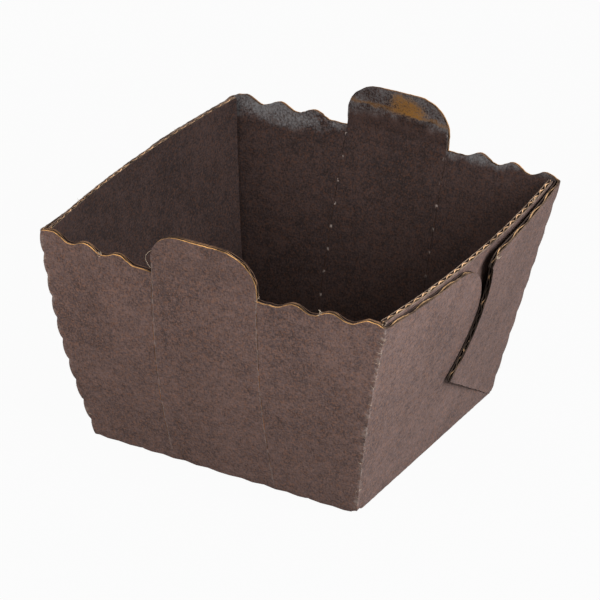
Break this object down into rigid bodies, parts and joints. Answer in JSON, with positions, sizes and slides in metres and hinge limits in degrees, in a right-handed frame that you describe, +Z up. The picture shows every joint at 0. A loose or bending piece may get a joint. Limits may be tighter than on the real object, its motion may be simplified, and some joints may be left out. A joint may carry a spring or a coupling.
{
  "type": "cupcake liner",
  "caption": "Square baking cup folded from fluted board, with leaning walls, scalloped edges, pull tabs, tear lines and side flaps lapped round the corners.",
  "frame": {"origin": "middle of the underside of the base, on the table", "axes": "+Z up, -Y towards the front wall with its pull tab, +X towards the right side wall"},
  "size_m": [0.062, 0.0626, 0.0444],
  "materials": {
    "brown_board": "matt brown fluted board with fine mottling, tan at the cut edges"
  },
  "bodies": {
    "root": {"folded_liner": "brown_board"}
  },
  "joints": []
}
